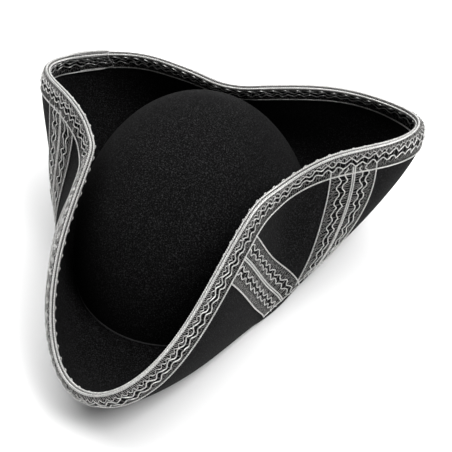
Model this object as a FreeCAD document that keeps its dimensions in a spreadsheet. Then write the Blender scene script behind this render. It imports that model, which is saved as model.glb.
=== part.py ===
import FreeCAD, Part
import math
import os

# Cocked felt hat with a braid-trimmed brim.
# +Z is up and the front corner points to -Y.
# The head line lies in the plane Z = 0, with its centre at the origin.
# Angles run from the front (-Y) towards +X, in degrees.

os.makedirs("parts", exist_ok=True)
doc = FreeCAD.newDocument("CockedHat")
Vector = FreeCAD.Vector

# ---------------------------------------------------------------- driving dimensions
DIMENSIONS = [
    ("head_half_length", 98.5, "half of the crown's front-to-back size at the head line"),
    ("head_half_width", 82, "half of the crown's sideways size at the head line"),
    ("crown_height", 116, "outside height of the dome above the head line"),
    ("felt_thickness", 2.2, "wool felt of crown and brim"),
    ("seam_gap", 0.12, "clearance between touching pieces"),
    ("braid_width", 34, "full width of the braid"),
    ("braid_thickness", 0.9, "braid with its cords"),
    ("band_gap", 0.35, "clearance between the felt and the cross bands, which bridge its nap"),
    ("braid_lap", 8, "angle over which the ends of the edge braid lap"),
    ("braid_lap_angle", 229, "start of the lap"),
    ("sweatband_height", 30, "ribbed ribbon inside the head opening"),
    ("sweatband_thickness", 1, "ribbed ribbon"),
    ("sweatband_joint", 1.2, "open joint between the ribbon's ends at the back"),
    ("label_length", 34, "blank size label"),
    ("label_height", 16, "blank size label"),
    ("label_thickness", 0.5, "blank size label"),
    ("label_base", 8, "lower edge of the label above the head line"),
    ("stitch_radius", 0.35, "sewing thread"),
    ("stitch_length", 4, "visible length of one stitch"),
    ("stitch_height", 3.5, "stitch row above the head line"),
]
sheet = doc.addObject("Spreadsheet::Sheet", "Dimensions")
for row, (alias, value, note) in enumerate(DIMENSIONS, 1):
    sheet.set(f"A{row}", note)
    sheet.set(f"B{row}", str(value))
    sheet.setAlias(f"B{row}", alias)
doc.recompute()


def size(alias):
    """One driving dimension, read from the sheet."""
    return float(sheet.get(alias))


# The brim's profile every 30 degrees, as (reach from the centre, height) of three points:
# the floor beside the head line, the wall, and the rim.
BRIM_STATIONS = [
    ((130, -12), (177, 18), (175, 35)),
    ((116, -3), (145, 61), (130, 95)),
    ((101, 44), (80, 47), (90, 110)),
    ((118, 40), (107, 70), (113, 114)),
    ((108, -8), (172, 75), (154, 89)),
    ((125, 7), (138, 36), (96, 89)),
    ((113, 14), (127, 1), (76, 84)),
    ((125, 7), (128, 32), (92, 91)),
    ((108, -8), (159, 65), (137, 89)),
    ((117, 40), (107, 76), (89, 116)),
    ((100, 44), (91, 42), (62, 107)),
    ((116, -4), (129, 45), (95, 83)),
]
# Cross bands: (label, angle at the braid's edge, angle and share at the lower end, bend). V pairs.
CROSS_BANDS = [
    ("right_front_band", 39, 61, 0.12, 0),
    ("right_rear_band", 91, 81.6, 0.18, 2.3),
    ("back_right_band", 153, 167, 0.18, 0),
    ("back_left_band", 207, 193, 0.18, 0),
    ("left_rear_band", 275.5, 297, 0.18, 0),
    ("left_front_band", 328, 320, 0.12, 0),
]
SECTION_STEP = 10
NUDGE = 1e-4

HEAD_LENGTH = size("head_half_length")
HEAD_WIDTH = size("head_half_width")
FELT = size("felt_thickness")
GAP = size("seam_gap")
BAND_GAP = size("band_gap")
BRAID = size("braid_thickness")
LEG = size("braid_width") / 2


# ---------------------------------------------------------------- brim surface
def harmonics(values):
    """Fourier terms of the smooth closed curve through equally spaced values."""
    count = len(values)
    terms = []
    for order in range(count // 2 + 1):
        share = 1 / count if order in (0, count // 2) else 2 / count
        turns = [2 * math.pi * order * k / count for k in range(count)]
        even = share * sum(v * math.cos(t) for v, t in zip(values, turns))
        odd = share * sum(v * math.sin(t) for v, t in zip(values, turns))
        terms.append((order, even, odd))
    return terms


CONTROLS = []
for k in range(3):
    reach_terms = harmonics([station[k][0] for station in BRIM_STATIONS])
    height_terms = harmonics([station[k][1] for station in BRIM_STATIONS])
    CONTROLS.append((reach_terms, height_terms))


def around(terms, angle):
    """Value of a closed curve at an angle in radians."""
    return sum(even * math.cos(order * angle) + odd * math.sin(order * angle) for order, even, odd in terms)


def head_radius(angle):
    """Radius of the oval head line at an angle in radians."""
    across = HEAD_WIDTH * math.cos(angle)
    along = HEAD_LENGTH * math.sin(angle)
    return HEAD_LENGTH * HEAD_WIDTH / math.hypot(across, along)


def profile(degrees, share):
    """(reach, height) of the brim's upper face. Share is 0 at the head line and 1 at the rim."""
    angle = math.radians(degrees)
    points = [(head_radius(angle) + GAP, 0)]
    points += [(around(reach, angle), around(height, angle)) for reach, height in CONTROLS]
    rest = 1 - share
    weights = (rest ** 3, 3 * share * rest ** 2, 3 * share ** 2 * rest, share ** 3)
    reach = sum(w * p[0] for w, p in zip(weights, points))
    height = sum(w * p[1] for w, p in zip(weights, points))
    return reach, height


def place(degrees, reach, height):
    """Point in space from an angle, a reach and a height."""
    angle = math.radians(degrees)
    return Vector(reach * math.sin(angle), -reach * math.cos(angle), height)


def surface(degrees, share):
    """Point of the brim's upper face."""
    return place(degrees, *profile(degrees, share))


def directions(degrees, share):
    """Derivatives of the upper face by angle and by share."""
    around_step = surface(degrees + NUDGE, share) - surface(degrees - NUDGE, share)
    along_step = surface(degrees, share + NUDGE) - surface(degrees, share - NUDGE)
    return around_step / (2 * NUDGE), along_step / (2 * NUDGE)


def lifted(degrees, share, lift, beyond=0):
    """Point lift above the upper face, and beyond the rim, inside the section plane at the angle."""
    by_angle, by_share = directions(degrees, share)
    true_normal = by_angle.cross(by_share).normalize()
    radial = place(degrees, 1, 0)
    along = Vector(by_share).normalize()
    upright = Vector(0, 0, 1)
    flat_normal = upright * along.dot(radial) - radial * along.dot(upright)
    slant = max(abs(flat_normal.dot(true_normal)), 0.5)
    # The felt is pinched upright where it meets the crown
    pinch = max(0, 1 - share / 0.1)
    normal = flat_normal * ((1 - pinch) / slant) + upright * pinch
    return surface(degrees, share) + normal * lift + along * beyond


def rim_share(degrees, distance):
    """Share of the point that lies a distance below the rim, measured on the felt."""
    step = 0.01
    share = 1
    here = surface(degrees, share)
    while True:
        below = surface(degrees, share - step)
        length = (here - below).Length
        if length >= distance:
            return share - step * distance / length
        distance -= length
        share -= step
        here = below


def spline(points, stations=None):
    """Smooth edge through points, at the same stations along it in every section."""
    if stations is None:
        stations = [k / (len(points) - 1) for k in range(len(points))]
    curve = Part.BSplineCurve()
    curve.interpolate(Points=points, Parameters=stations)
    return curve.toShape()


def segment(start, end):
    """Straight edge."""
    return Part.LineSegment(start, end).toShape()


def add_solid(label, shape):
    """Document object that holds a computed solid."""
    piece = doc.addObject("Part::Feature", label)
    piece.Label = label
    piece.Shape = shape
    piece.Placement = FreeCAD.Placement()
    return piece


# ---------------------------------------------------------------- brim
def brim_section(degrees):
    """Closed outline of the felt at one angle."""
    shares = [0, 0.05, 0.1, 0.2, 0.32, 0.45, 0.58, 0.7, 0.8, 0.88, 0.94, 1]
    upper = [lifted(degrees, share, 0) for share in shares]
    lower = [lifted(degrees, share, -FELT) for share in reversed(shares)]
    rim_middle = lifted(degrees, 1, -FELT / 2, FELT / 2)
    return Part.Wire([
        spline(upper, shares),
        spline([upper[-1], rim_middle, lower[0]]),
        spline(lower, [1 - share for share in reversed(shares)]),
        segment(lower[-1], upper[0]),
    ])


brim_sections = [brim_section(degrees) for degrees in range(0, 360, SECTION_STEP)]
brim = add_solid("brim_felt", Part.makeLoft(brim_sections, True, False, True))


# ---------------------------------------------------------------- edge braid
def braid_section(degrees, raised):
    """Closed U outline of the braid folded over the rim, raised where it laps over its own end."""
    inside = GAP + raised
    outside = inside + BRAID
    root = rim_share(degrees, LEG)
    shares = [root + (1 - root) * k / 4 for k in range(5)]
    back = shares[::-1]
    inner_under = [lifted(degrees, share, inside) for share in shares]
    outer_under = [lifted(degrees, share, -FELT - inside) for share in back]
    outer_top = [lifted(degrees, share, -FELT - outside) for share in shares]
    inner_top = [lifted(degrees, share, outside) for share in back]
    fold_under = lifted(degrees, 1, -FELT / 2, FELT / 2 + inside)
    fold_top = lifted(degrees, 1, -FELT / 2, FELT / 2 + outside)
    return Part.Wire([
        spline(inner_under),
        spline([inner_under[-1], fold_under, outer_under[0]]),
        spline(outer_under),
        segment(outer_under[-1], outer_top[0]),
        spline(outer_top),
        spline([outer_top[-1], fold_top, inner_top[0]]),
        spline(inner_top),
        segment(inner_top[-1], inner_under[0]),
    ])


LAP_START = size("braid_lap_angle")
LAP = size("braid_lap")
RAMP = 6


def lap_raise(turned):
    """How far the braid's first end rides above its second end."""
    climb = (LAP + 1 + RAMP - turned) / RAMP
    climb = min(max(climb, 0), 1)
    return (BRAID + GAP) * climb * climb * (3 - 2 * climb)


turns = [0, 4, 8, 12, 16, 20, 25] + list(range(30, 361, SECTION_STEP)) + [360 + LAP / 2, 360 + LAP]
braid_sections = [braid_section(LAP_START + turned, lap_raise(turned)) for turned in turns]
edge_braid = add_solid("edge_braid", Part.makeLoft(braid_sections, True))


# ---------------------------------------------------------------- cross bands
def band_patch(top_angle, root_angle, root, bend):
    """Outer face of the felt under one cross band, as a smooth surface."""
    rows = []
    for k in range(19):
        climb = k / 18
        centre = root_angle + (top_angle - root_angle) * climb + 4 * bend * climb * (1 - climb)
        turning = top_angle - root_angle + 4 * bend * (1 - 2 * climb)
        row = []
        for side in (-1, -0.67, -0.33, 0, 0.33, 0.67, 1):
            degrees = centre
            for repeat in range(3):
                middle = (centre + degrees) / 2
                top = rim_share(middle, LEG + GAP)
                by_angle, by_share = directions(middle, root + (top - root) * climb)
                course = by_angle * turning + by_share * (top - root)
                spread = by_angle.cross(course).Length / course.Length
                degrees = centre + side * LEG / spread
            top = rim_share(degrees, LEG + 3 * GAP)
            row.append(lifted(degrees, root + (top - root) * climb, -FELT - BAND_GAP))
        rows.append(row)
    patch = Part.BSplineSurface()
    patch.interpolate(rows)
    return patch.toShape()


bands = []
for label, top_angle, root_angle, root, bend in CROSS_BANDS:
    under = add_solid(label + "_underside", band_patch(top_angle, root_angle, root, bend))
    band = doc.addObject("Part::Offset", label)
    band.Label = label
    band.Source = under
    band.Fill = True
    band.setExpression("Value", "Dimensions.braid_thickness")
    bands.append(band)


# ---------------------------------------------------------------- crown, sweatband and label
def dome(label, inset, bottom, top):
    """Part of an oval dome set in from the crown's outer face. Bottom and top are sphere latitudes."""
    body = doc.addObject("Part::Ellipsoid", label)
    body.setExpression("Radius1", f"Dimensions.crown_height - ({inset})")
    body.setExpression("Radius2", f"Dimensions.head_half_width - ({inset})")
    body.setExpression("Radius3", f"Dimensions.head_half_length - ({inset})")
    body.setExpression("Angle1", bottom)
    body.setExpression("Angle2", top)
    body.Angle3 = 360
    return body


def cut(label, base, tool):
    """Boolean difference of two objects."""
    result = doc.addObject("Part::Cut", label)
    result.Label = label
    result.Base = base
    result.Tool = tool
    return result


FELT_INSET = "Dimensions.felt_thickness"
BAND_OUTER = "Dimensions.felt_thickness + Dimensions.seam_gap"
BAND_INNER = BAND_OUTER + " + Dimensions.sweatband_thickness"
LABEL_OUTER = BAND_INNER + " + Dimensions.seam_gap"
LABEL_INNER = LABEL_OUTER + " + Dimensions.label_thickness"

crown = cut(
    "crown_felt",
    dome("crown_outside", "0", "-asin(Dimensions.felt_thickness / Dimensions.crown_height)", "90"),
    dome("crown_inside", FELT_INSET, "-90", "90"),
)
band_top = "asin(Dimensions.sweatband_height / Dimensions.crown_height)"
band_foot = "-asin(Dimensions.felt_thickness / Dimensions.crown_height)"
ring = cut(
    "sweatband_ring",
    dome("sweatband_outside", BAND_OUTER, band_foot, band_top),
    dome("sweatband_inside", BAND_INNER, "-90", "90"),
)
joint = doc.addObject("Part::Box", "sweatband_slit")
joint.setExpression("Length", "Dimensions.sweatband_joint")
joint.setExpression("Width", "Dimensions.head_half_length")
joint.setExpression("Height", "3 * Dimensions.sweatband_height")
joint.setExpression("Placement.Base.x", "-Dimensions.sweatband_joint / 2")
joint.setExpression("Placement.Base.z", "-Dimensions.sweatband_height")
sweatband = cut("sweatband", ring, joint)

label_shell = cut(
    "label_shell",
    dome("label_outside", LABEL_OUTER, band_foot, band_top),
    dome("label_inside", LABEL_INNER, "-90", "90"),
)
label_block = doc.addObject("Part::Box", "label_block")
label_block.setExpression("Length", "Dimensions.label_length")
label_block.setExpression("Width", "Dimensions.head_half_length")
label_block.setExpression("Height", "Dimensions.label_height")
label_block.setExpression("Placement.Base.x", "-Dimensions.label_length / 2")
label_block.setExpression("Placement.Base.z", "Dimensions.label_base")
size_label = doc.addObject("Part::Common", "size_label")
size_label.Label = "size_label"
size_label.Base = label_shell
size_label.Tool = label_block

# ---------------------------------------------------------------- stitches
STITCHES = 44
stitch_level = size("stitch_height")
stitch_shrink = math.sqrt(1 - (stitch_level / size("crown_height")) ** 2)
stitch_inset = FELT + size("sweatband_thickness") + 2 * GAP + size("stitch_radius")
stitch_list = []
for k in range(STITCHES):
    turn = 2 * math.pi * (k + 0.5) / STITCHES
    half_width = HEAD_WIDTH * stitch_shrink - stitch_inset - 0.1
    half_length = HEAD_LENGTH * stitch_shrink - stitch_inset - 0.1
    run = Vector(half_width * math.cos(turn), half_length * math.sin(turn), 0).normalize()
    middle = Vector(half_width * math.sin(turn), -half_length * math.cos(turn), stitch_level)
    stitch = doc.addObject("Part::Cylinder", f"stitch_{k}")
    stitch.setExpression("Radius", "Dimensions.stitch_radius")
    stitch.setExpression("Height", "Dimensions.stitch_length")
    start = middle - run * (size("stitch_length") / 2)
    stitch.Placement = FreeCAD.Placement(start, FreeCAD.Rotation(Vector(0, 0, 1), run))
    stitch_list.append(stitch)
thread = doc.addObject("Part::Compound", "sweatband_thread")
thread.Label = "sweatband_thread"
thread.Links = stitch_list

doc.recompute()

# ---------------------------------------------------------------- checks and export
for item in doc.Objects:
    if "Invalid" in item.State or "Error" in item.State:
        raise RuntimeError(f"{item.Label} did not recompute: {item.State}")

for piece in [crown, brim, edge_braid, sweatband, thread, size_label] + bands:
    if piece.Shape.isNull() or not piece.Shape.isValid():
        raise RuntimeError(f"{piece.Label} has no valid shape")
    if not piece.Shape.Solids:
        raise RuntimeError(f"{piece.Label} is not solid")
    box = piece.Shape.BoundBox
    print(piece.Label, len(piece.Shape.Solids), "solids, volume", round(piece.Shape.Volume),
          "x", round(box.XMin, 1), round(box.XMax, 1), "y", round(box.YMin, 1), round(box.YMax, 1),
          "z", round(box.ZMin, 1), round(box.ZMax, 1))
    piece.Shape.exportStep(f"parts/{piece.Label}.step")
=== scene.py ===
"""Looks of the cocked felt hat. Lengths in the formulas are millimetres; meshes are made in metres."""

import math

import bpy
import numpy as np
from mathutils import Matrix, Vector


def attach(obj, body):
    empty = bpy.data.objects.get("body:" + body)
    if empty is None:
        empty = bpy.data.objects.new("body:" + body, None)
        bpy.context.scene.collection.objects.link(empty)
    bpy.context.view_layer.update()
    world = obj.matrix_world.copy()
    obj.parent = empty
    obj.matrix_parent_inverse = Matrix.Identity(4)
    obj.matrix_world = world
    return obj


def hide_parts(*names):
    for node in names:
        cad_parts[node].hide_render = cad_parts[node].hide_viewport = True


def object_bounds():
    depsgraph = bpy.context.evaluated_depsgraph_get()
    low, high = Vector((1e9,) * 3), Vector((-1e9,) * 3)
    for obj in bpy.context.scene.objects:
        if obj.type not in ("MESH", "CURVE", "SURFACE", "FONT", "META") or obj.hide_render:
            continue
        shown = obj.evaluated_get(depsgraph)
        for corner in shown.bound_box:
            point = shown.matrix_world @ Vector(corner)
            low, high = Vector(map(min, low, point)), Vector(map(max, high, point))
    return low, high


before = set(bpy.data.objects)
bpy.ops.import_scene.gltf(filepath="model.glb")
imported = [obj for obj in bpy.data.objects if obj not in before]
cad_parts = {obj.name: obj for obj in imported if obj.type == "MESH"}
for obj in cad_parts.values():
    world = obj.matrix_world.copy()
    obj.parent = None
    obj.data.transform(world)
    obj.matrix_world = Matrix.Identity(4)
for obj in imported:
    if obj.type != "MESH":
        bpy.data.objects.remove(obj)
cad_low, cad_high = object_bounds()

MM = 0.001
# Half lengths of the head line, height of the crown, thickness of the felt
HEAD_LENGTH, HEAD_WIDTH, CROWN = 98.5, 82.0, 116.0
FELT = 2.2
# Half width of the braid, and where its ends lap
LEG = 17.0
LAP_ANGLE = math.radians(229)
LAP_SPAN = math.radians(8)
# Widest unevenness of the pressed felt, outwards and upwards
UNEVEN_REACH, UNEVEN_HEIGHT = 0.35, 0.3
# Share of the brim beside the head line over which its felt stands pinched upright
PINCH = 0.1

# The brim's profile every 30 degrees: floor, wall and rim, each as (reach, height).
BRIM_STATIONS = np.array([
    ((130, -12), (177, 18), (175, 35)),
    ((116, -3), (145, 61), (130, 95)),
    ((101, 44), (80, 47), (90, 110)),
    ((118, 40), (107, 70), (113, 114)),
    ((108, -8), (172, 75), (154, 89)),
    ((125, 7), (138, 36), (96, 89)),
    ((113, 14), (127, 1), (76, 84)),
    ((125, 7), (128, 32), (92, 91)),
    ((108, -8), (159, 65), (137, 89)),
    ((117, 40), (107, 76), (89, 116)),
    ((100, 44), (91, 42), (62, 107)),
    ((116, -4), (129, 45), (95, 83)),
], float)
# Cross bands: angle at the braid's edge, angle and share at the lower end, bend, length hidden
# under the braid, and shift of the far wave against the near one.
CROSS_BANDS = {
    "right_front_band": (39, 61.8, 0.095, 0, 1.5, 1.0),
    "right_rear_band": (91, 80.2, 0.14, 2.9, 6.5, 0),
    "back_right_band": (153, 167, 0.18, 0, 4, 0),
    "back_left_band": (207, 193, 0.18, 0, 4, 0.5),
    "left_rear_band": (275.5, 297, 0.18, 0, 4, 0),
    "left_front_band": (328, 320, 0.12, 0, 4, 0.5),
}


# ------------------------------------------------------------------ brim surface
def around(values, angle):
    """Smooth closed curve through twelve equally spaced values."""
    turns = np.arange(12) * math.pi / 6
    total = np.full(np.shape(angle), values.mean())
    for order in range(1, 7):
        share = 12 if order == 6 else 6
        total = total + values @ np.cos(order * turns) / share * np.cos(order * angle)
        if order < 6:
            total = total + values @ np.sin(order * turns) / share * np.sin(order * angle)
    return total


def head_radius(angle):
    """Radius of the oval head line."""
    return HEAD_LENGTH * HEAD_WIDTH / np.hypot(HEAD_WIDTH * np.cos(angle), HEAD_LENGTH * np.sin(angle))


def surface(angle, share):
    """Points of the brim's upper face. Share is 0 at the head line and 1 at the rim."""
    angle, share = np.broadcast_arrays(np.asarray(angle, float), np.asarray(share, float))
    rest = 1 - share
    weights = (3 * share * rest ** 2, 3 * share ** 2 * rest, share ** 3)
    reach = rest ** 3 * (head_radius(angle) + 0.1)
    height = np.zeros(angle.shape)
    for k, weight in enumerate(weights):
        reach = reach + weight * around(BRIM_STATIONS[:, k, 0], angle)
        height = height + weight * around(BRIM_STATIONS[:, k, 1], angle)
    # Slight unevenness of pressed felt
    soft = np.minimum(share * 3, 1)
    reach = reach + soft * UNEVEN_REACH * np.sin(11 * angle + 5 * share) * np.cos(7 * angle - 3 * share)
    height = height + soft * UNEVEN_HEIGHT * np.sin(13 * angle + 1.3)
    return np.stack([reach * np.sin(angle), -reach * np.cos(angle), height], -1)


def unit(vectors):
    """The vectors brought to length 1."""
    return vectors / np.maximum(np.linalg.norm(vectors, axis=-1, keepdims=True), 1e-12)


def directions(angle, share):
    """Derivatives of the upper face by angle (in radians) and by share."""
    step = 1e-4
    by_angle = (surface(angle + step, share) - surface(angle - step, share)) / (2 * step)
    by_share = (surface(angle, share + step) - surface(angle, share - step)) / (2 * step)
    return by_angle, by_share


def normals(angle, share):
    """Unit normals of the upper face, towards the inside of the cocked brim."""
    by_angle, by_share = directions(angle, share)
    return unit(np.cross(by_share, by_angle))


# Grid of angles and of distances below the rim, for looking up shares
ANGLE_STEPS, DISTANCE_STEPS = 720, 120
DISTANCE_STEP = 0.5
GRID_ANGLES = np.linspace(0, 2 * math.pi, ANGLE_STEPS + 1)
GRID_DISTANCES = np.linspace(0, DISTANCE_STEPS * DISTANCE_STEP, DISTANCE_STEPS + 1)


def rim_share_table():
    """Share of the point that lies each distance below the rim, at each angle."""
    shares = np.linspace(1, 0, 301)
    points = surface(GRID_ANGLES[:, None], shares[None, :])
    lengths = np.linalg.norm(np.diff(points, axis=1), axis=-1)
    travelled = np.concatenate([np.zeros((len(GRID_ANGLES), 1)), np.cumsum(lengths, axis=1)], axis=1)
    return np.array([np.interp(GRID_DISTANCES, row, shares) for row in travelled])


RIM_SHARES = rim_share_table()


def rim_share(angle, distance):
    """Share of the point a distance below the rim."""
    column = np.mod(angle, 2 * math.pi) / (2 * math.pi) * ANGLE_STEPS
    row = np.clip(np.asarray(distance, float) / DISTANCE_STEP, 0, DISTANCE_STEPS - 0.001)
    i, j = np.minimum(column.astype(int), ANGLE_STEPS - 1), row.astype(int)
    a, b = column - i, row - j
    low = RIM_SHARES[i, j] * (1 - b) + RIM_SHARES[i, j + 1] * b
    high = RIM_SHARES[i + 1, j] * (1 - b) + RIM_SHARES[i + 1, j + 1] * b
    return low * (1 - a) + high * a


# ------------------------------------------------------------------ mesh helpers
class Pile:
    """Collects vertices (mm) and faces of one piece."""

    def __init__(self):
        self.points, self.faces, self.count = [], [], 0

    def add(self, points, faces):
        """Adds points, and faces that count from the first of them."""
        points = np.asarray(points).reshape(-1, 3)
        self.points.append(points)
        self.faces += [tuple(f) for f in (np.asarray(faces) + self.count).tolist()]
        self.count += len(points)

    def tubes(self, paths, upward, radius, sides=4, closed=False):
        """Round cords along paths of shape (count, steps, 3), with an upward direction for each point."""
        paths = np.asarray(paths, float)
        if paths.ndim == 2:
            paths, upward = paths[None], np.asarray(upward)[None]
        count, steps, _ = paths.shape
        if closed:
            run = np.roll(paths, -1, 1) - np.roll(paths, 1, 1)
        else:
            run = np.gradient(paths, axis=1)
        run = unit(run)
        across = unit(np.cross(run, upward))
        up = np.cross(across, run)
        radius = np.broadcast_to(radius, (count, steps))[..., None, None]
        turn = 2 * math.pi * (np.arange(sides) + 0.5) / sides
        ring = np.cos(turn)[:, None] * across[:, :, None, :] + np.sin(turn)[:, None] * up[:, :, None, :]
        points = paths[:, :, None, :] + radius * ring
        index = np.arange(count * steps * sides).reshape(count, steps, sides)
        near = index if closed else index[:, :-1]
        far = np.roll(index, -1, 1) if closed else index[:, 1:]
        quads = np.stack([near, np.roll(near, -1, 2), np.roll(far, -1, 2), far], -1).reshape(-1, 4)
        self.add(points, quads)
        if not closed:
            base = self.count - count * steps * sides
            self.faces += [tuple(f) for f in (index[:, 0, ::-1] + base).tolist()]
            self.faces += [tuple(f) for f in (index[:, -1] + base).tolist()]


def make_piece(name, pile, material):
    """One mesh object from a pile, riding on the hat."""
    mesh = bpy.data.meshes.new(name)
    mesh.from_pydata((np.concatenate(pile.points) * MM).tolist(), [], pile.faces)
    mesh.polygons.foreach_set("use_smooth", [True] * len(mesh.polygons))
    mesh.materials.append(material)
    mesh.update()
    obj = bpy.data.objects.new(name, mesh)
    bpy.context.scene.collection.objects.link(obj)
    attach(obj, "root")
    return obj


def grid_quads(rows, columns, wrap_rows=False, wrap_columns=False):
    """Quads of a grid of points, in row-major order."""
    index = np.arange(rows * columns).reshape(rows, columns)
    a = index if wrap_rows else index[:-1]
    b = np.roll(index, -1, 0) if wrap_rows else index[1:]
    if wrap_columns:
        quads = np.stack([a, np.roll(a, -1, 1), np.roll(b, -1, 1), b], -1)
    else:
        quads = np.stack([a[:, :-1], a[:, 1:], b[:, 1:], b[:, :-1]], -1)
    return quads.reshape(-1, 4)


# ------------------------------------------------------------------ materials
def new_material(name):
    """A material with its node tree and its shader."""
    material = bpy.data.materials.new(name)
    material.use_nodes = True
    tree = material.node_tree
    shader = tree.nodes["Principled BSDF"]
    return material, tree, shader


def link(tree, source, output, target, socket):
    """Joins an output of one node to a socket of another."""
    tree.links.new(source.outputs[output], target.inputs[socket])


def felt_material():
    """Black pressed wool: dark ground, paler loose fibres, soft grey nap."""
    material, tree, shader = new_material("wool_felt")
    nodes = tree.nodes
    place = nodes.new("ShaderNodeTexCoord")
    cloud = nodes.new("ShaderNodeTexNoise")
    cloud.inputs["Scale"].default_value = 34
    cloud.inputs["Detail"].default_value = 4
    speck = nodes.new("ShaderNodeTexNoise")
    speck.inputs["Scale"].default_value = 1150
    speck.inputs["Detail"].default_value = 2
    speck.inputs["Roughness"].default_value = 0.6
    ramp = nodes.new("ShaderNodeValToRGB")
    ramp.color_ramp.elements[0].position = 0.42
    ramp.color_ramp.elements[0].color = (0.002, 0.002, 0.0021, 1)
    ramp.color_ramp.elements[1].position = 0.72
    ramp.color_ramp.elements[1].color = (0.034, 0.034, 0.035, 1)
    middle = ramp.color_ramp.elements.new(0.55)
    middle.color = (0.0075, 0.0075, 0.0078, 1)
    shade = nodes.new("ShaderNodeMix")
    shade.data_type = "RGBA"
    shade.blend_type = "MULTIPLY"
    shade.inputs["Factor"].default_value = 0.5
    bump = nodes.new("ShaderNodeBump")
    bump.inputs["Strength"].default_value = 0.35
    bump.inputs["Distance"].default_value = 0.0004
    link(tree, place, "Object", cloud, "Vector")
    link(tree, place, "Object", speck, "Vector")
    link(tree, speck, "Fac", ramp, "Fac")
    link(tree, ramp, "Color", shade, 6)
    link(tree, cloud, "Fac", shade, 7)
    link(tree, shade, 2, shader, "Base Color")
    link(tree, speck, "Fac", bump, "Height")
    link(tree, bump, "Normal", shader, "Normal")
    shader.inputs["Roughness"].default_value = 0.95
    shader.inputs["Specular IOR Level"].default_value = 0.05
    shader.inputs["Sheen Weight"].default_value = 0.01
    shader.inputs["Sheen Roughness"].default_value = 0.5
    return material


def yarn_material(name, colour, metallic, roughness, grain):
    """Metallic yarn with small changes of tone along it."""
    material, tree, shader = new_material(name)
    nodes = tree.nodes
    place = nodes.new("ShaderNodeTexCoord")
    tone = nodes.new("ShaderNodeTexNoise")
    tone.inputs["Scale"].default_value = grain
    tone.inputs["Detail"].default_value = 2
    ramp = nodes.new("ShaderNodeValToRGB")
    ramp.color_ramp.elements[0].position = 0.3
    ramp.color_ramp.elements[0].color = tuple(0.45 * c for c in colour) + (1,)
    ramp.color_ramp.elements[1].position = 0.7
    ramp.color_ramp.elements[1].color = tuple(colour) + (1,)
    link(tree, place, "Object", tone, "Vector")
    link(tree, tone, "Fac", ramp, "Fac")
    link(tree, ramp, "Color", shader, "Base Color")
    shader.inputs["Metallic"].default_value = metallic
    shader.inputs["Roughness"].default_value = roughness
    return material


def plain_material(name, colour, roughness):
    material, _, shader = new_material(name)
    shader.inputs["Base Color"].default_value = tuple(colour) + (1,)
    shader.inputs["Roughness"].default_value = roughness
    shader.inputs["Specular IOR Level"].default_value = 0.3
    return material


FELT_LOOK = felt_material()
CORD_LOOK = yarn_material("silver_cord", (0.74, 0.735, 0.72), 0.75, 0.36, 1500)
THREAD_LOOK = yarn_material("silver_thread", (0.34, 0.335, 0.325), 0.7, 0.42, 900)
RIBBON_LOOK = yarn_material("black_ribbon", (0.02, 0.02, 0.022), 0.0, 0.55, 2500)
# Felt coloured lighter than the hat's felt: a painted highlight along the crease ridge, in place of its sheen
CREASE_HIGHLIGHT_LOOK = yarn_material("crease_painted_highlight", (0.035, 0.035, 0.036), 0.0, 0.8, 700)
SEWING_LOOK = plain_material("sewing_thread", (0.05, 0.05, 0.055), 0.6)
LABEL_LOOK = yarn_material("label_tape", (0.72, 0.71, 0.67), 0.0, 0.8, 2200)


# ------------------------------------------------------------------ felt
def build_crown():
    """Dome shell: outside and inside skins joined at the bottom edge."""
    pile = Pile()
    columns, rows = 288, 80
    turn = np.linspace(0, 2 * math.pi, columns, endpoint=False)
    foot = -math.asin(FELT / CROWN)
    rise = np.linspace(foot, math.pi / 2 - 0.012, rows)
    skins = []
    for inset in (0, FELT):
        uneven = (0.25 * np.sin(3 * turn[None] + 2 * rise[:, None])
                  * np.cos(rise[:, None]) * np.sin(4 * rise[:, None]))
        flat = np.cos(rise)[:, None]
        x = (HEAD_WIDTH - inset + uneven) * flat * np.sin(turn)
        y = -(HEAD_LENGTH - inset + uneven) * flat * np.cos(turn)
        z = (CROWN - inset) * np.sin(rise)[:, None] + 0 * turn
        z[0] = -FELT
        skins.append(np.stack([x, y, z], -1))
    outside, inside = skins
    points = np.concatenate([outside.reshape(-1, 3), inside.reshape(-1, 3)])
    quads = grid_quads(rows, columns, wrap_columns=True)
    size = rows * columns
    base = np.arange(columns)
    rim = np.stack([np.roll(base, -1), base, base + size, np.roll(base, -1) + size], -1)
    faces = [quads, quads[:, ::-1] + size, rim]
    pile.add(points, np.concatenate(faces))
    top = (rows - 1) * columns
    for offset, sign, inset in ((0, 1, 0), (size, -1, FELT)):
        pole = pile.count
        pile.points.append(np.array([[0, 0, CROWN - inset]]))
        pile.count += 1
        for k in range(columns):
            pair = (offset + top + k, offset + top + (k + 1) % columns)
            pile.faces.append((pair[0], pair[1], pole) if sign > 0 else (pair[1], pair[0], pole))
    return pile


def lifted(angle, share, lift):
    """Points above the upper face; at the head line the felt is pinched upright."""
    normal = normals(angle, share)
    pinch = np.clip(1 - share / PINCH, 0, 1)[..., None]
    normal = normal * (1 - pinch) + np.array([0, 0, 1.0]) * pinch
    return surface(angle, share) + normal * lift


def rim_frame(angle):
    """Middle of the felt's edge, outward direction and inner normal at the rim."""
    one = np.ones(np.shape(angle))
    normal = normals(angle, one)
    by_angle, by_share = directions(angle, one)
    outward = unit(np.cross(normal, unit(by_angle)))
    outward = outward * np.sign((outward * by_share).sum(-1, keepdims=True))
    return surface(angle, one) - normal * (FELT / 2), outward, normal


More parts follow.
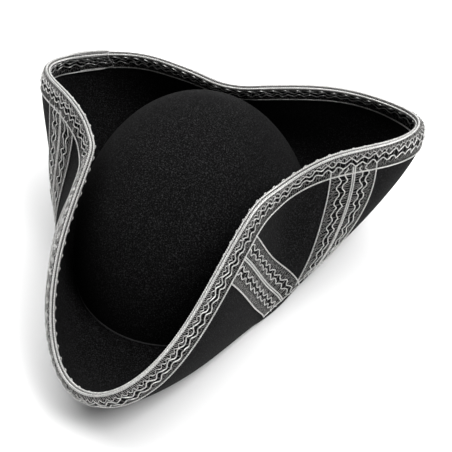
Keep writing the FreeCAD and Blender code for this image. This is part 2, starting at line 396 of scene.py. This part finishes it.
def build_brim():
    """Closed felt sheet: upper face, rounded edge and lower face."""
    pile = Pile()
    columns = 540
    angle = np.linspace(0, 2 * math.pi, columns, endpoint=False)[:, None]
    shares = np.concatenate([np.linspace(0, PINCH, 7)[:-1], np.linspace(PINCH, 1, 52)])[None]
    upper = lifted(angle, shares, 0)
    lower = lifted(angle, shares[:, ::-1], -FELT)
    middle, outward, normal = rim_frame(angle[:, 0])
    bends = []
    for tilt in np.radians([54, 18, -18, -54]):
        bends.append(middle + (FELT / 2) * (math.cos(tilt) * outward + math.sin(tilt) * normal))
    edge = np.stack(bends, 1)
    points = np.concatenate([upper, edge, lower], 1)
    pile.add(points, grid_quads(columns, points.shape[1], True, True)[:, ::-1])
    return pile


def build_crease():
    """Narrow rounded ridge where the brim is turned up from the crown."""
    pile = Pile()
    angle = np.linspace(0, 2 * math.pi, 360, endpoint=False)
    reach = head_radius(angle) + 0.25
    points = np.stack([reach * np.sin(angle), -reach * np.cos(angle), 0.15 + 0 * angle], -1)
    up = np.zeros_like(points) + np.array([0, 0, 1.0])
    pile.tubes(points, up, 0.5, 6, True)
    return pile


# ------------------------------------------------------------------ braid
# Distance of the edge cords from the braid's centre, and swing of the wavy cords
EDGE_LINE = 16.4
WAVE_HEIGHT = 1.25
# Half width of the stretch that wraps round the rim
FOLD = 2.0
# Radii of the cords
WAVY_CORD, EDGE_CORD, CENTRE_CORD, BAND_CENTRE_CORD, END_CORD = 0.42, 0.33, 0.42, 0.36, 0.3
# Middles of the two wavy cords from the braid's centre, and length of one wave
RIM_PATTERN = {"near": 6.2, "far": 10.1, "length": 8.5}
BAND_PATTERN = {"near": 5.6, "far": 9.6, "length": 10.2}
rng = np.random.default_rng(7)


def rim_lengths():
    """Length along the rim up to each angle of the grid."""
    points = surface(GRID_ANGLES, np.ones(len(GRID_ANGLES)))
    steps = np.linalg.norm(np.diff(points, axis=0), axis=-1)
    return np.concatenate([[0], np.cumsum(steps)])


RIM_LENGTHS = rim_lengths()
RIM_TOTAL = RIM_LENGTHS[-1]


def rim_angle(along):
    """Angle of the point a length along the rim, measured from the front."""
    laps = np.floor(along / RIM_TOTAL)
    return np.interp(along - laps * RIM_TOTAL, RIM_LENGTHS, GRID_ANGLES) + laps * 2 * math.pi


def edge_place(along, across, lift):
    """Point and outward normal on the braid folded over the rim.
    Across runs from -17 on the inner face over the rim to 17 on the outer face."""
    along, across, lift = np.broadcast_arrays(*(np.asarray(v, float) for v in (along, across, lift)))
    angle = rim_angle(along)
    distance = np.maximum(np.abs(across) - FOLD, 0) * LEG / (LEG - FOLD)
    one = np.ones(angle.shape)
    by_angle, by_share = directions(angle, one)
    down = -unit(by_share)
    size = np.linalg.norm(by_angle, axis=-1)
    lean = -(down * by_angle).sum(-1) / size ** 2
    lean = np.clip(lean, -0.012, 0.012)
    reached = angle + lean * distance
    share = rim_share(reached, distance)
    inner = (across < 0)[..., None]
    normal = normals(reached, share)
    face_inner = surface(reached, share) + normal * lift[..., None]
    face_outer = surface(reached, share) - normal * (FELT + lift[..., None])
    face = np.where(inner, face_inner, face_outer)
    face_normal = np.where(inner, normal, -normal)
    middle, outward, rim_normal = rim_frame(angle)
    tilt = np.clip(across / FOLD, -1, 1)[..., None] * math.pi / 2
    spoke = np.cos(tilt) * outward - np.sin(tilt) * rim_normal
    wrap = middle + spoke * (FELT / 2 + lift[..., None])
    folded = (np.abs(across) < FOLD)[..., None]
    return np.where(folded, wrap, face), np.where(folded, spoke, face_normal)


def band_placer(top_angle, root_angle, root, bend, hidden):
    """Placing function of one cross band, and its length."""
    top_angle, root_angle, bend = (math.radians(v) for v in (top_angle, root_angle, bend))

    def course(climb, across):
        centre = root_angle + (top_angle - root_angle) * climb + 4 * bend * climb * (1 - climb)
        turning = (top_angle - root_angle + 4 * bend * (1 - 2 * climb))[..., None]
        angle = centre + 0 * across
        for _ in range(3):
            middle = (centre + angle) / 2
            top = rim_share(middle, LEG)
            by_angle, by_share = directions(middle, root + (top - root) * climb)
            run = by_angle * turning + by_share * (top - root)[..., None]
            spread = np.linalg.norm(np.cross(by_angle, run), axis=-1) / np.linalg.norm(run, axis=-1)
            angle = centre + across / spread
        top = rim_share(angle, LEG)
        return angle, root + (top - root) * climb

    climbs = np.linspace(0, 1.25, 126)
    angle, share = course(climbs, 0 * climbs)
    points = surface(angle, share)
    lengths = np.concatenate([[0], np.cumsum(np.linalg.norm(np.diff(points, axis=0), axis=-1))])

    def placer(along, across, lift):
        along, across, lift = np.broadcast_arrays(*(np.asarray(v, float) for v in (along, across, lift)))
        climb = np.interp(along, lengths, climbs)
        angle, share = course(climb, across)
        normal = -normals(angle, share)
        return surface(angle, share) + normal * (FELT + lift[..., None]), normal

    return placer, float(np.interp(1, climbs, lengths)) + hidden


def lay_cord(pile, place, along, across, lift, radius, sides=5):
    """One cord on the braid, along places given by a placing function."""
    points, normal = place(along, across, lift)
    pile.tubes(points, normal, radius, sides)


def lay_twist(pile, place, start, end, across, lift, radius, pitch=2.6):
    """Cord of two strands twisted together."""
    along = np.linspace(start, end, int((end - start) / 0.45))
    twist = 2 * math.pi * (along - start) / pitch
    swing = radius * 0.75
    for half in (0, math.pi):
        lay_cord(pile, place, along, across + swing * np.cos(twist + half),
                 lift + swing * np.sin(twist + half), radius)


def lay_threads(pile, place, roots, lean, near, far, lift, arch, radius):
    """Fine threads across the braid. Roots are places along it, near and far are distances from its
    centre, and lean is how far along it a thread goes."""
    share = np.linspace(0, 1, 6)[None]
    line = roots[:, None] + (lean * np.ones(len(roots)))[:, None] * share
    across = near[:, None] + (far - near)[:, None] * share
    puff = lift + arch * np.sin(math.pi * share) * rng.uniform(0.5, 1.4, (len(roots), 1))
    points, normal = place(line, across, puff)
    pile.tubes(points, normal, radius, 4)


def scatter(start, end, spacing, wobble):
    """Places along the braid with slightly uneven spacing."""
    roots = np.arange(start, end, spacing)
    return roots + rng.uniform(-wobble, wobble, len(roots))


def lay_half(cords, threads, place, start, end, side, phase, base, pattern, near_edge, shift=0):
    """One half of the braid: edge cord, two wavy cords, and the fine threads between them."""
    turn = 2 * math.pi / pattern["length"]

    def wave(along, middle):
        drift = 0.5 * np.sin(along * 0.061 + side) + 0.3 * np.sin(along * 0.173 + 2 * side)
        drift = drift + (shift if middle == pattern["far"] else 0)
        height = WAVE_HEIGHT * (1 + 0.22 * np.sin(along * 0.37 + side) + 0.15 * np.sin(along * 0.83 + middle))
        return middle + height * np.sin(turn * along + phase + drift) + 0.2 * np.sin(along * 0.29 + middle)

    lay_twist(cords, place, start, end, side * EDGE_LINE, base + 0.5, EDGE_CORD)
    along = np.linspace(start, end, int((end - start) / 0.5))
    for middle in (pattern["near"], pattern["far"]):
        rise = base + 0.62 + 0.22 * np.sin(turn * along + phase + 1.4) + 0.12 * np.sin(along * 1.9)
        lay_cord(cords, place, along, side * wave(along, middle), rise, WAVY_CORD)
    # Fans from the centre to the near wave
    roots = scatter(start + 1, end - 1, 2.05, 0.22)
    lean = 1.2 * np.sin(turn * roots + phase + 1.2)
    tips = wave(roots + lean, pattern["near"])
    feet = np.full(len(roots), side * near_edge)
    lay_threads(threads, place, roots, lean, feet, side * tips, base + 0.25, 0.35, 0.15)
    # Thin zigzag from the far wave past the edge cord
    roots = scatter(start + 1.4, end - 1.4, 2.7, 0.3)
    tips = EDGE_LINE + rng.uniform(0.1, 0.7, len(roots))
    for slant in (-1.2, 1.2):
        lay_threads(threads, place, roots, slant, side * wave(roots, pattern["far"]), side * tips,
                    base + 0.2, 0.15, 0.085)
    # A loose thin thread along the outer field
    along = np.linspace(start, end, int((end - start) / 0.6))
    wander = 13.3 + 0.9 * np.sin(along * 1.3) + 0.5 * np.sin(along * 0.53)
    lay_cord(threads, place, along, side * wander, base + 0.3, 0.09, 4)
    # Ties between the two waves
    roots = scatter(start + 2, end - 2, pattern["length"] / 2, 0.2)
    lay_threads(threads, place, roots, 0.4, side * wave(roots, pattern["near"]),
                side * wave(roots, pattern["far"]), base + 0.1, 0.0, 0.13)


def build_edge_braid():
    """The braid round the rim as named piles, with its first end lapped over its last one."""
    parts = {name: Pile() for name in ("inner_cords", "outer_cords", "centre_cords", "inner_loops",
                                       "inner_threads", "outer_threads", "rim_threads")}
    start = float(np.interp(LAP_ANGLE, GRID_ANGLES, RIM_LENGTHS))
    lap = float(np.interp(LAP_ANGLE + LAP_SPAN, GRID_ANGLES, RIM_LENGTHS)) - start
    end = start + RIM_TOTAL + lap

    def place(along, across, lift):
        along = np.asarray(along, float)
        rise = np.clip((start + lap + 14 - along) / 14, 0, 1)
        rise = rise * rise * (3 - 2 * rise)
        gather = np.clip((start + 12 - along) / 12, 0, 1) ** 2
        return edge_place(along, across * (1 - 0.2 * gather), lift + rise)

    for side, name in ((-1, "inner"), (1, "outer")):
        lay_half(parts[name + "_cords"], parts[name + "_threads"], place, start, end, side, 0.6 * side, 0.1,
                 RIM_PATTERN, 2.4)
    for across in (-0.8, 0.8):
        lay_twist(parts["centre_cords"], place, start, end, across, 0.95, CENTRE_CORD, pitch=3.0)
    # Bars of thread wrapped over the rim, under the centre cords
    roots = scatter(start + 0.5, end - 0.5, 1.15, 0.14)
    share = np.linspace(-1, 1, 9)[None]
    reach = rng.uniform(2.6, 3.9, (len(roots), 1))
    points, normal = place(roots[:, None] + 0.7 * share, reach * share,
                           0.35 + rng.uniform(0, 0.55, (len(roots), 1)) + 0 * share)
    parts["rim_threads"].tubes(points, normal, 0.24, 4)
    along = np.linspace(start, end, int((end - start) / 0.5))
    # Uneven curly cord beside the centre cords on the outer side
    curl = 2 * math.pi * along / 4.3 + 1.2 * np.sin(along * 0.21)
    lay_cord(parts["outer_cords"], place, along, 3.7 + 0.85 * np.sin(curl), 0.75 + 0.45 * np.cos(curl), 0.26)
    # Small loops that stand over the rim on the inner side
    swing = np.cos(2 * math.pi * along / RIM_PATTERN["length"])
    lay_cord(parts["inner_loops"], place, along, -2.7 + 1.2 * swing, 1.0 + 0.8 * swing, 0.34)
    # Cut end of the lap
    across = np.linspace(-EDGE_LINE, EDGE_LINE, 60)
    lay_cord(parts["centre_cords"], place, start + 0.4 + 0 * across, across, 0.6 + 0 * across, END_CORD)
    return parts


def build_band(name):
    """Cords and threads of one cross band, with a cord along its lower end."""
    cords, threads = Pile(), Pile()
    *course, shift = CROSS_BANDS[name]
    place, length = band_placer(*course)
    for side in (-1, 1):
        lay_half(cords, threads, place, 0.4, length - 0.4, side, 0.5 * side + 1.0, 0.0,
                 BAND_PATTERN, 0.9, shift)
    for across in (-0.75, 0.75):
        lay_twist(cords, place, 0.2, length - 0.2, across, 0.55, BAND_CENTRE_CORD)
    across = np.linspace(-EDGE_LINE, EDGE_LINE, 40)
    lay_cord(cords, place, 0.3 + 0 * across, across, 0.35 + 0 * across, END_CORD)
    return cords, threads


# ------------------------------------------------------------------ sweatband, label, thread
def dome_point(turn, height, inset):
    """Point on the crown's inside at a height, set in from the crown's outer face."""
    shrink = np.sqrt(1 - (height / CROWN) ** 2)
    x = (HEAD_WIDTH - inset) * shrink * np.sin(turn)
    y = -(HEAD_LENGTH - inset) * shrink * np.cos(turn)
    return np.stack([x, y, height + 0 * turn], -1)


def build_sweatband():
    """Ribbed ribbon ring, open by a narrow joint at the back."""
    pile = Pile()
    ribs, columns = 440, 1760
    joint = 0.0065
    turn = np.linspace(math.pi + joint, 3 * math.pi - joint, columns)[:, None]
    levels = np.array([-2.0, -1.4, 0, 4, 10, 16, 22, 27, 28.8, 29.4])[None]
    rib = 0.16 * np.cos(turn * ribs)
    waist = 0.15 * np.sin(math.pi * (levels + 2) / 31.4)
    outer = dome_point(turn + 0 * levels, levels + 0 * turn, FELT + 0.15)
    inner = dome_point(turn + 0 * levels, levels + 0 * turn, FELT + 1.0 + rib + waist)
    points = np.concatenate([outer, inner[:, ::-1]], 1)
    pile.add(points, grid_quads(columns, points.shape[1], False, True))
    width = points.shape[1]
    pile.faces.append(tuple(range(width))[::-1])
    pile.faces.append(tuple(range((columns - 1) * width, columns * width)))
    return pile


def build_stitches():
    """Short stitches that dip into the ribbon at both ends."""
    pile = Pile()
    count = 44
    for k in range(count):
        middle = 2 * math.pi * (k + 0.5) / count
        turn = middle + np.linspace(-1, 1, 7) * 2.1 / 90
        dip = np.array([-0.9, 0.1, 0.3, 0.35, 0.3, 0.1, -0.9])
        points = dome_point(turn, 3.5 + 0.25 * np.linspace(-1, 1, 7), FELT + 1.25 + dip)
        normal = unit(points * np.array([-1, -1, 0]))
        pile.tubes(points, normal, 0.3, 6)
    return pile


def build_label():
    """Blank folded tape tacked at its two ends."""
    pile = Pile()
    columns, rows = 49, 25
    turn = math.pi + np.linspace(-17, 17, columns)[:, None] / 93.5
    levels = np.linspace(8.2, 23.8, rows)[None]
    bow = 0.5 * np.cos(np.linspace(-1, 1, columns) * math.pi / 2)[:, None] + 0.08 * np.sin(levels * 2.4)
    back = dome_point(turn + 0 * levels, levels + 0 * turn, FELT + 1.5 + bow)
    front = dome_point(turn + 0 * levels, levels + 0 * turn, FELT + 1.95 + bow)
    size = rows * columns
    quads = grid_quads(columns, rows)
    ring = list(range(rows)) + [c * rows + rows - 1 for c in range(1, columns)]
    ring += [(columns - 1) * rows + r for r in range(rows - 2, -1, -1)]
    ring += [c * rows for c in range(columns - 2, 0, -1)]
    ring = np.array(ring)
    rim = np.stack([ring, np.roll(ring, -1), np.roll(ring, -1) + size, ring + size], -1)
    pile.add(np.concatenate([back.reshape(-1, 3), front.reshape(-1, 3)]),
             np.concatenate([quads, quads[:, ::-1] + size, rim[:, ::-1]]))
    return pile


# ------------------------------------------------------------------ pieces
def show(name, pile, look, replaces=None):
    """Makes a piece with its material slot, and the node that it replaces if there is one."""
    piece = make_piece(name, pile, look)
    if replaces:
        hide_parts(replaces)


show("crown", build_crown(), FELT_LOOK, "crown_felt")
show("brim", build_brim(), FELT_LOOK, "brim_felt")
# The crease ridge is real; its lighter felt is a painted highlight
show("crown_crease", build_crease(), CREASE_HIGHLIGHT_LOOK)
for part, pile in build_edge_braid().items():
    look = THREAD_LOOK if part.endswith("threads") else CORD_LOOK
    show("edge_braid_" + part, pile, look, "edge_braid" if part == "centre_cords" else None)
for band in CROSS_BANDS:
    band_cords, band_threads = build_band(band)
    show(band + "_cords", band_cords, CORD_LOOK, band)
    show(band + "_threads", band_threads, THREAD_LOOK)
show("ribbed_sweatband", build_sweatband(), RIBBON_LOOK, "sweatband")
show("sweatband_stitches", build_stitches(), SEWING_LOOK, "sweatband_thread")
show("blank_label", build_label(), LABEL_LOOK, "size_label")


# ------------------------------------------------------------------ floor, light and camera
# Half length of the floor and its clearance under the hat, in metres
FLOOR_HALF = 6.0
FLOOR_GAP = 0.0002
# Camera: degrees, then aim point and distances from it, then lens and sensor width
CAMERA_AZIMUTH, CAMERA_ELEVATION, CAMERA_ROLL = 23.26, 42.66, -3.27
CAMERA_AIM = Vector((0, 0, 50))
CAMERA_DISTANCE, CAMERA_RIGHT, CAMERA_UP = 891.6, 24.23, -23.73
CAMERA_LENS, CAMERA_SENSOR = 103.556, 36


def add_floor():
    mesh = bpy.data.meshes.new("floor")
    low = min(cad_low.z, 0) - FLOOR_GAP
    far = FLOOR_HALF
    corners = [(-far, -far, low), (far, -far, low), (far, far, low), (-far, far, low)]
    mesh.from_pydata(corners, [], [(0, 1, 2, 3)])
    floor = bpy.data.objects.new("floor", mesh)
    bpy.context.scene.collection.objects.link(floor)
    floor.data.materials.append(plain_material("floor_paper", (0.93, 0.93, 0.93), 0.9))


def add_light(name, place, target, size, power):
    data = bpy.data.lights.new(name, "AREA")
    data.shape = "RECTANGLE"
    data.size, data.size_y = size
    data.energy = power
    light = bpy.data.objects.new(name, data)
    light.location = place
    light.rotation_euler = (Vector(target) - Vector(place)).to_track_quat("-Z", "Y").to_euler()
    bpy.context.scene.collection.objects.link(light)


def add_world():
    world = bpy.data.worlds.new("studio")
    world.use_nodes = True
    world.node_tree.nodes["Background"].inputs["Color"].default_value = (1, 1, 1, 1)
    world.node_tree.nodes["Background"].inputs["Strength"].default_value = 0.2
    bpy.context.scene.world = world


def add_camera():
    azimuth, elevation, roll = (math.radians(v) for v in (CAMERA_AZIMUTH, CAMERA_ELEVATION, CAMERA_ROLL))
    back = Vector((math.sin(azimuth) * math.cos(elevation), -math.cos(azimuth) * math.cos(elevation),
                   math.sin(elevation)))
    level = Vector((math.cos(azimuth), math.sin(azimuth), 0))
    above = back.cross(level)
    right = level * math.cos(roll) + above * math.sin(roll)
    up = above * math.cos(roll) - level * math.sin(roll)
    place = CAMERA_AIM + right * CAMERA_RIGHT + up * CAMERA_UP + back * CAMERA_DISTANCE
    data = bpy.data.cameras.new("camera")
    data.sensor_width = CAMERA_SENSOR
    data.lens = CAMERA_LENS
    camera = bpy.data.objects.new("camera", data)
    turn = Matrix((right, up, back)).transposed().to_4x4()
    camera.matrix_world = Matrix.Translation(place * MM) @ turn
    bpy.context.scene.collection.objects.link(camera)
    bpy.context.scene.camera = camera


add_floor()
add_world()
add_light("overhead", (0.1, 0.5, 1.35), (0, 0, 0.05), (2.2, 2.2), 38)
add_light("right_key", (0.95, -0.35, 1.3), (-0.05, 0.05, 0.08), (0.7, 0.7), 20)
add_light("left_side", (-0.9, 0.2, 1.3), (0, 0, 0.05), (0.9, 0.9), 7)
add_camera()
bpy.context.scene.view_settings.view_transform = "Standard"
